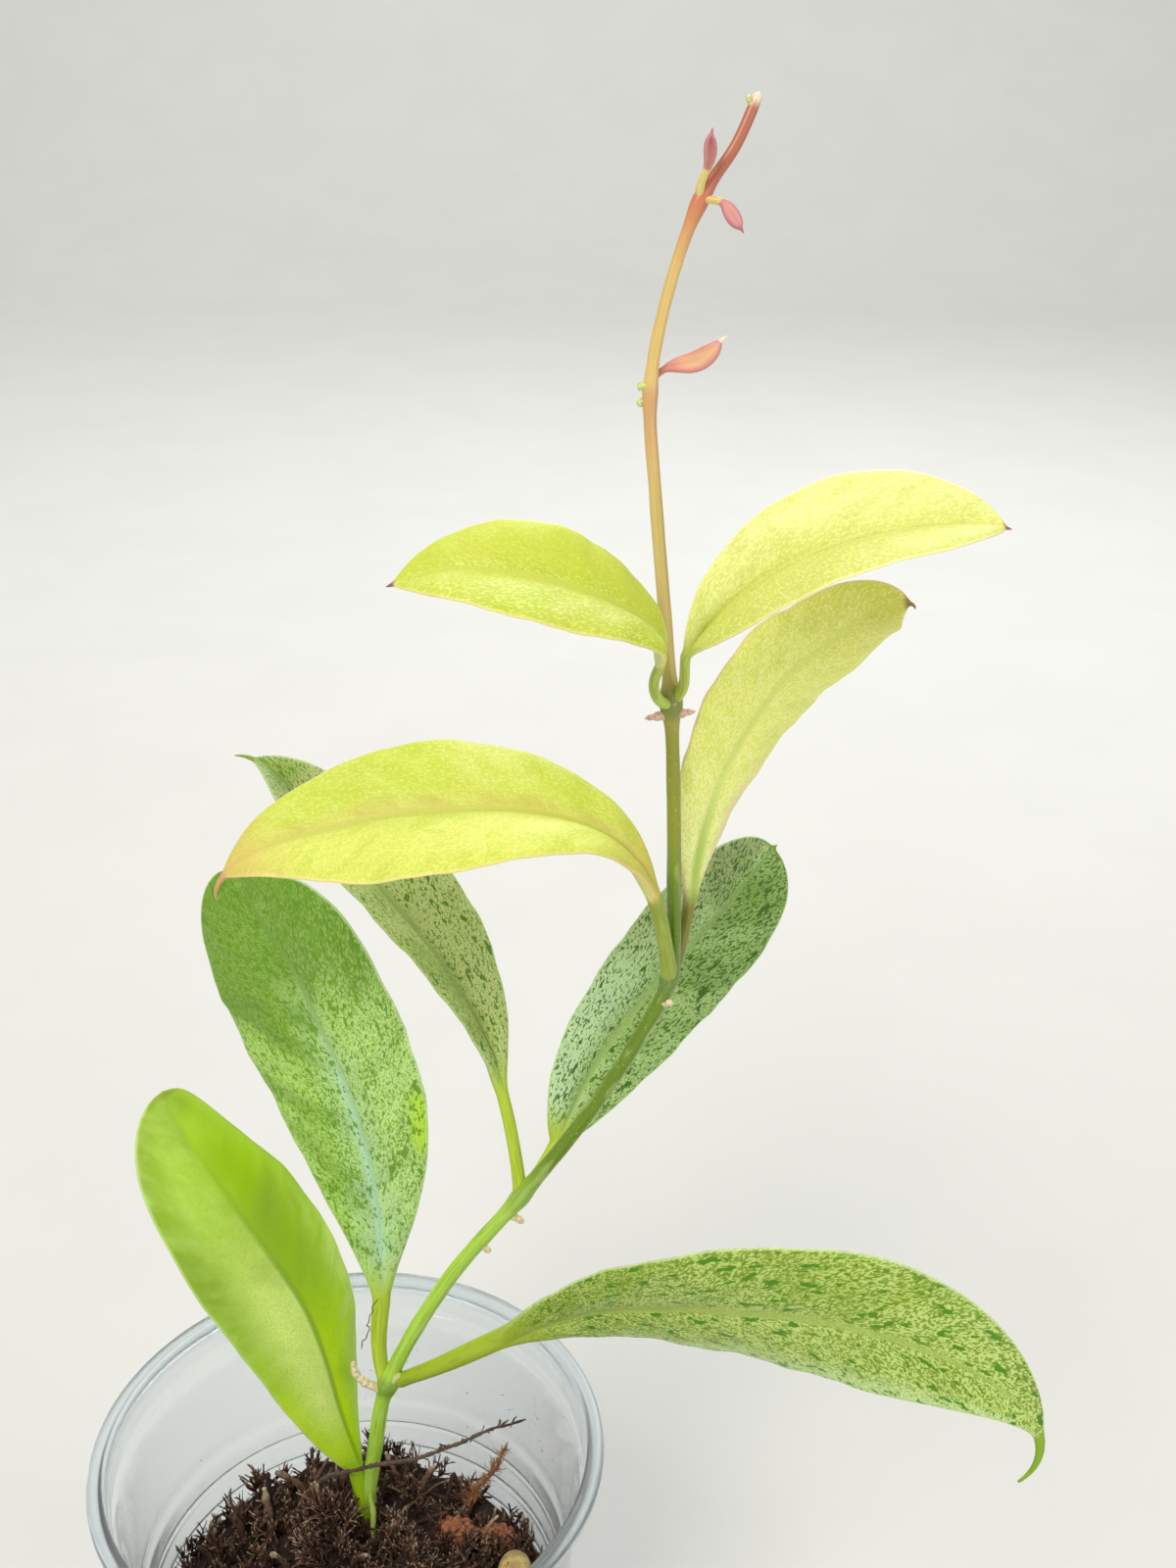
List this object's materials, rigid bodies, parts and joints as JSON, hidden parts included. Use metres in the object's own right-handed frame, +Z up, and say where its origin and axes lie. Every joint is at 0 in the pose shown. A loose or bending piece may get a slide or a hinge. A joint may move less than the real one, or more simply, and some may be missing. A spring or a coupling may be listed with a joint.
{
  "type": "potted wax plant",
  "caption": "Young climbing wax plant with paired leathery leaves on one bending stem, rooted in coarse fibre mix in a clear round nursery cup.",
  "frame": {"origin": "middle of the cup's flat underside", "axes": "+Z up along the cup's axis, -Y to the front, +X to the side that the stem leans to"},
  "size_m": [0.132, 0.076, 0.2589],
  "materials": {
    "clear_plastic": "clear thin moulded polypropylene, slightly hazy",
    "fibre_mix": "dark brown coarse tree-fern and coir fibre",
    "fired_clay": "rough orange-brown fired clay crumb",
    "pebble_stone": "smooth tan pebble",
    "dark_fibre": "dry dark rootlet",
    "rust_fibre": "dry rust-coloured fibres",
    "stem_skin": "smooth green stem, tan to pink at its top",
    "sprout_green": "young green shoot",
    "leaf_plain": "satin yellow-green leaf without flecks",
    "leaf_flecked": "satin silvery leaf with dark green flecks",
    "leaf_lime": "satin lime-yellow young leaf",
    "leaf_pink": "thin pink new leaf",
    "root_skin": "matt cream root",
    "bud_scale": "small dry bud scales"
  },
  "bodies": {
    "root": {"cup": "clear_plastic", "potting_mix": "fibre_mix", "clay_chip_left": "fired_clay", "clay_chip_right": "fired_clay", "pebble": "pebble_stone", "long_fibre": "dark_fibre", "fibre_tuft": "rust_fibre", "stem": "stem_skin", "sprout": "sprout_green", "leaf_0": "leaf_plain", "leaf_1_left": "leaf_flecked", "leaf_1_right": "leaf_flecked", "leaf_2_left": "leaf_flecked", "leaf_2_right": "leaf_flecked", "leaf_3_left": "leaf_lime", "leaf_3_right": "leaf_lime", "leaf_4_left": "leaf_lime", "leaf_4_right": "leaf_lime", "leaf_5_right": "leaf_pink", "leaf_6_left": "leaf_pink", "leaf_6_right": "leaf_pink", "aerial_root": "root_skin", "root_stub_2_upper": "root_skin", "root_stub_2_lower": "root_skin", "root_stub_3": "root_skin", "root_stub_4_left": "root_skin", "root_stub_4_right": "root_skin", "bud_1": "bud_scale", "bud_5_upper": "bud_scale", "bud_5_lower": "bud_scale", "bud_tip": "bud_scale"}
  },
  "joints": []
}
